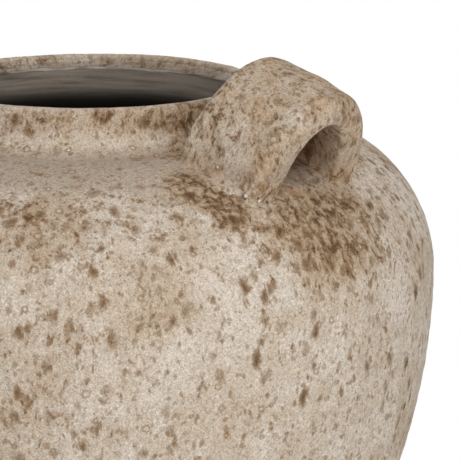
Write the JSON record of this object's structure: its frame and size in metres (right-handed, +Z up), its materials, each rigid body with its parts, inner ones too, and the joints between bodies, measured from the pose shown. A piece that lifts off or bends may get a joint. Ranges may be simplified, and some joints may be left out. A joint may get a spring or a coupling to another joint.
{
  "type": "greek pithos",
  "caption": "Wide-mouthed round-bellied stoneware storage jar with a short neck and arched strap handles on its shoulder.",
  "frame": {"origin": "on the ground at the jar's axis", "axes": "+Z up along the jar's axis, the handles on +X and -X"},
  "size_m": [0.384, 0.384, 0.3548],
  "materials": {
    "stoneware_body": "matt, unglazed, mottled",
    "stained_neck": "matt, unglazed, mottled",
    "stained_lip": "matt, unglazed, mottled",
    "stained_handle": "matt, unglazed, mottled",
    "bare_inside_clay": "matt, unglazed, mottled"
  },
  "bodies": {
    "root": {"floor_slab": "stoneware_body", "floor_seam_coil": "bare_inside_clay", "foot_ring": "stoneware_body", "lower_wall_ring": "stoneware_body", "belly_ring": "stoneware_body", "upper_belly_ring": "stoneware_body", "shoulder_ring": "stained_neck", "neck_collar": "stained_neck", "lip_coil": "stained_lip", "right_handle_strap": "stained_handle", "right_handle_front_luting": "stained_handle", "right_handle_back_luting": "stained_handle", "left_handle_strap": "stained_handle", "left_handle_front_luting": "stained_handle", "left_handle_back_luting": "stained_handle"}
  },
  "joints": []
}
